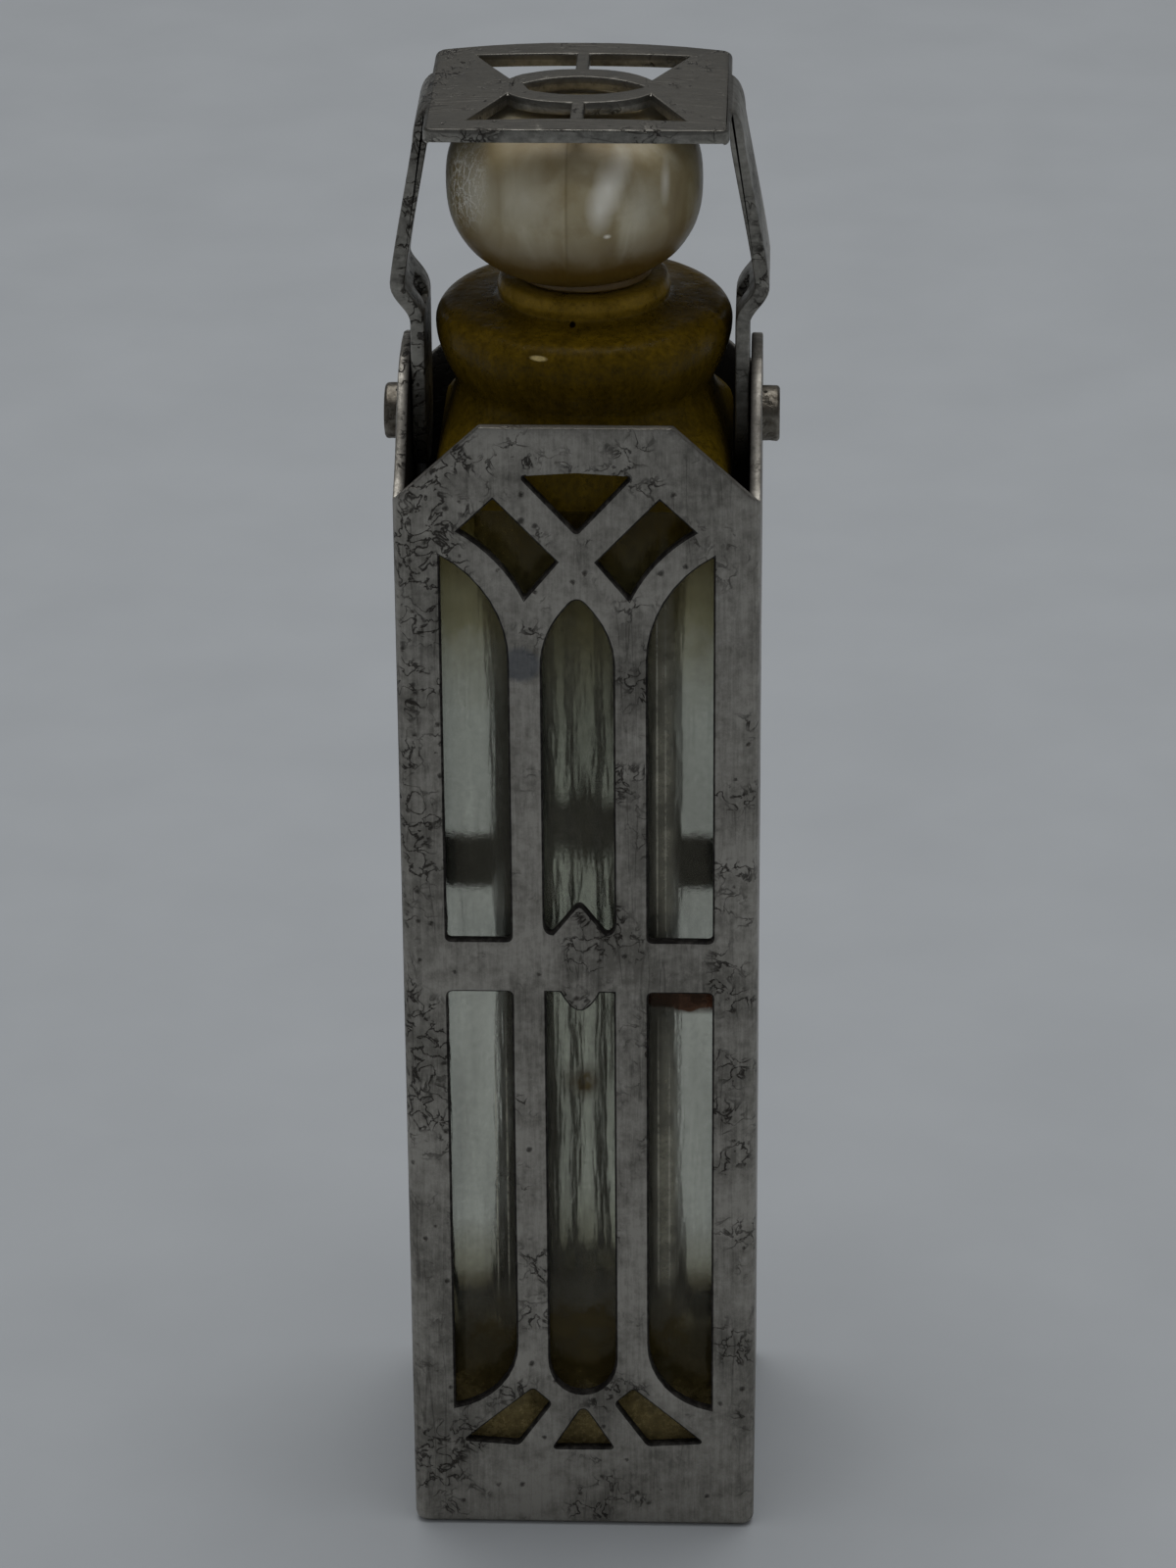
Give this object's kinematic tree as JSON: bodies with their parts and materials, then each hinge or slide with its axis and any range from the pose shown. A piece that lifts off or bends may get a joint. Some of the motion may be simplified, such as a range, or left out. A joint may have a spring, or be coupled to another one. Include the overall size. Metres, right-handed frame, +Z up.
{
  "type": "scent bottle",
  "caption": "Square glass scent vial in a pierced silver case, its glass stopper held down by a bail that swings aside on rivets.",
  "frame": {"origin": "centre of the case's flat underside", "axes": "+Z up towards the stopper, -Y towards the front panel, +X to the viewer's right; the bail swings about X"},
  "size_m": [0.014, 0.0126, 0.0547],
  "materials": {
    "silver_sheet": "worn sterling silver sheet, brushed and lightly tarnished",
    "silver_strip": "worn sterling silver strip, bent and pierced",
    "silver_rivet": "silver rivet, hammered and tarnished",
    "clear_glass": "clear moulded glass, slightly green and grey",
    "pearl_glass": "pearly moulded glass, satin polished"
  },
  "bodies": {
    "case": {"case_front_panel": "silver_sheet", "case_back_panel": "silver_sheet", "case_left_wall": "silver_sheet", "case_right_wall": "silver_sheet", "case_base": "silver_sheet", "left_rivet": "silver_rivet", "right_rivet": "silver_rivet", "vial": "clear_glass"},
    "bail": {"bail": "silver_strip"},
    "stopper": {"stopper": "pearl_glass"}
  },
  "joints": [
    {"name": "bail_swing", "type": "hinge", "parent": "case", "child": "bail", "pos_m": [0, 0, 0.04255], "axis": [1, 0, 0], "range_deg": [-65, 65]},
    {"name": "stopper_twist", "type": "hinge", "parent": "case", "child": "stopper", "pos_m": [0.00009, 0, 0.0475], "axis": [0, 0, 1], "continuous": true}
  ]
}
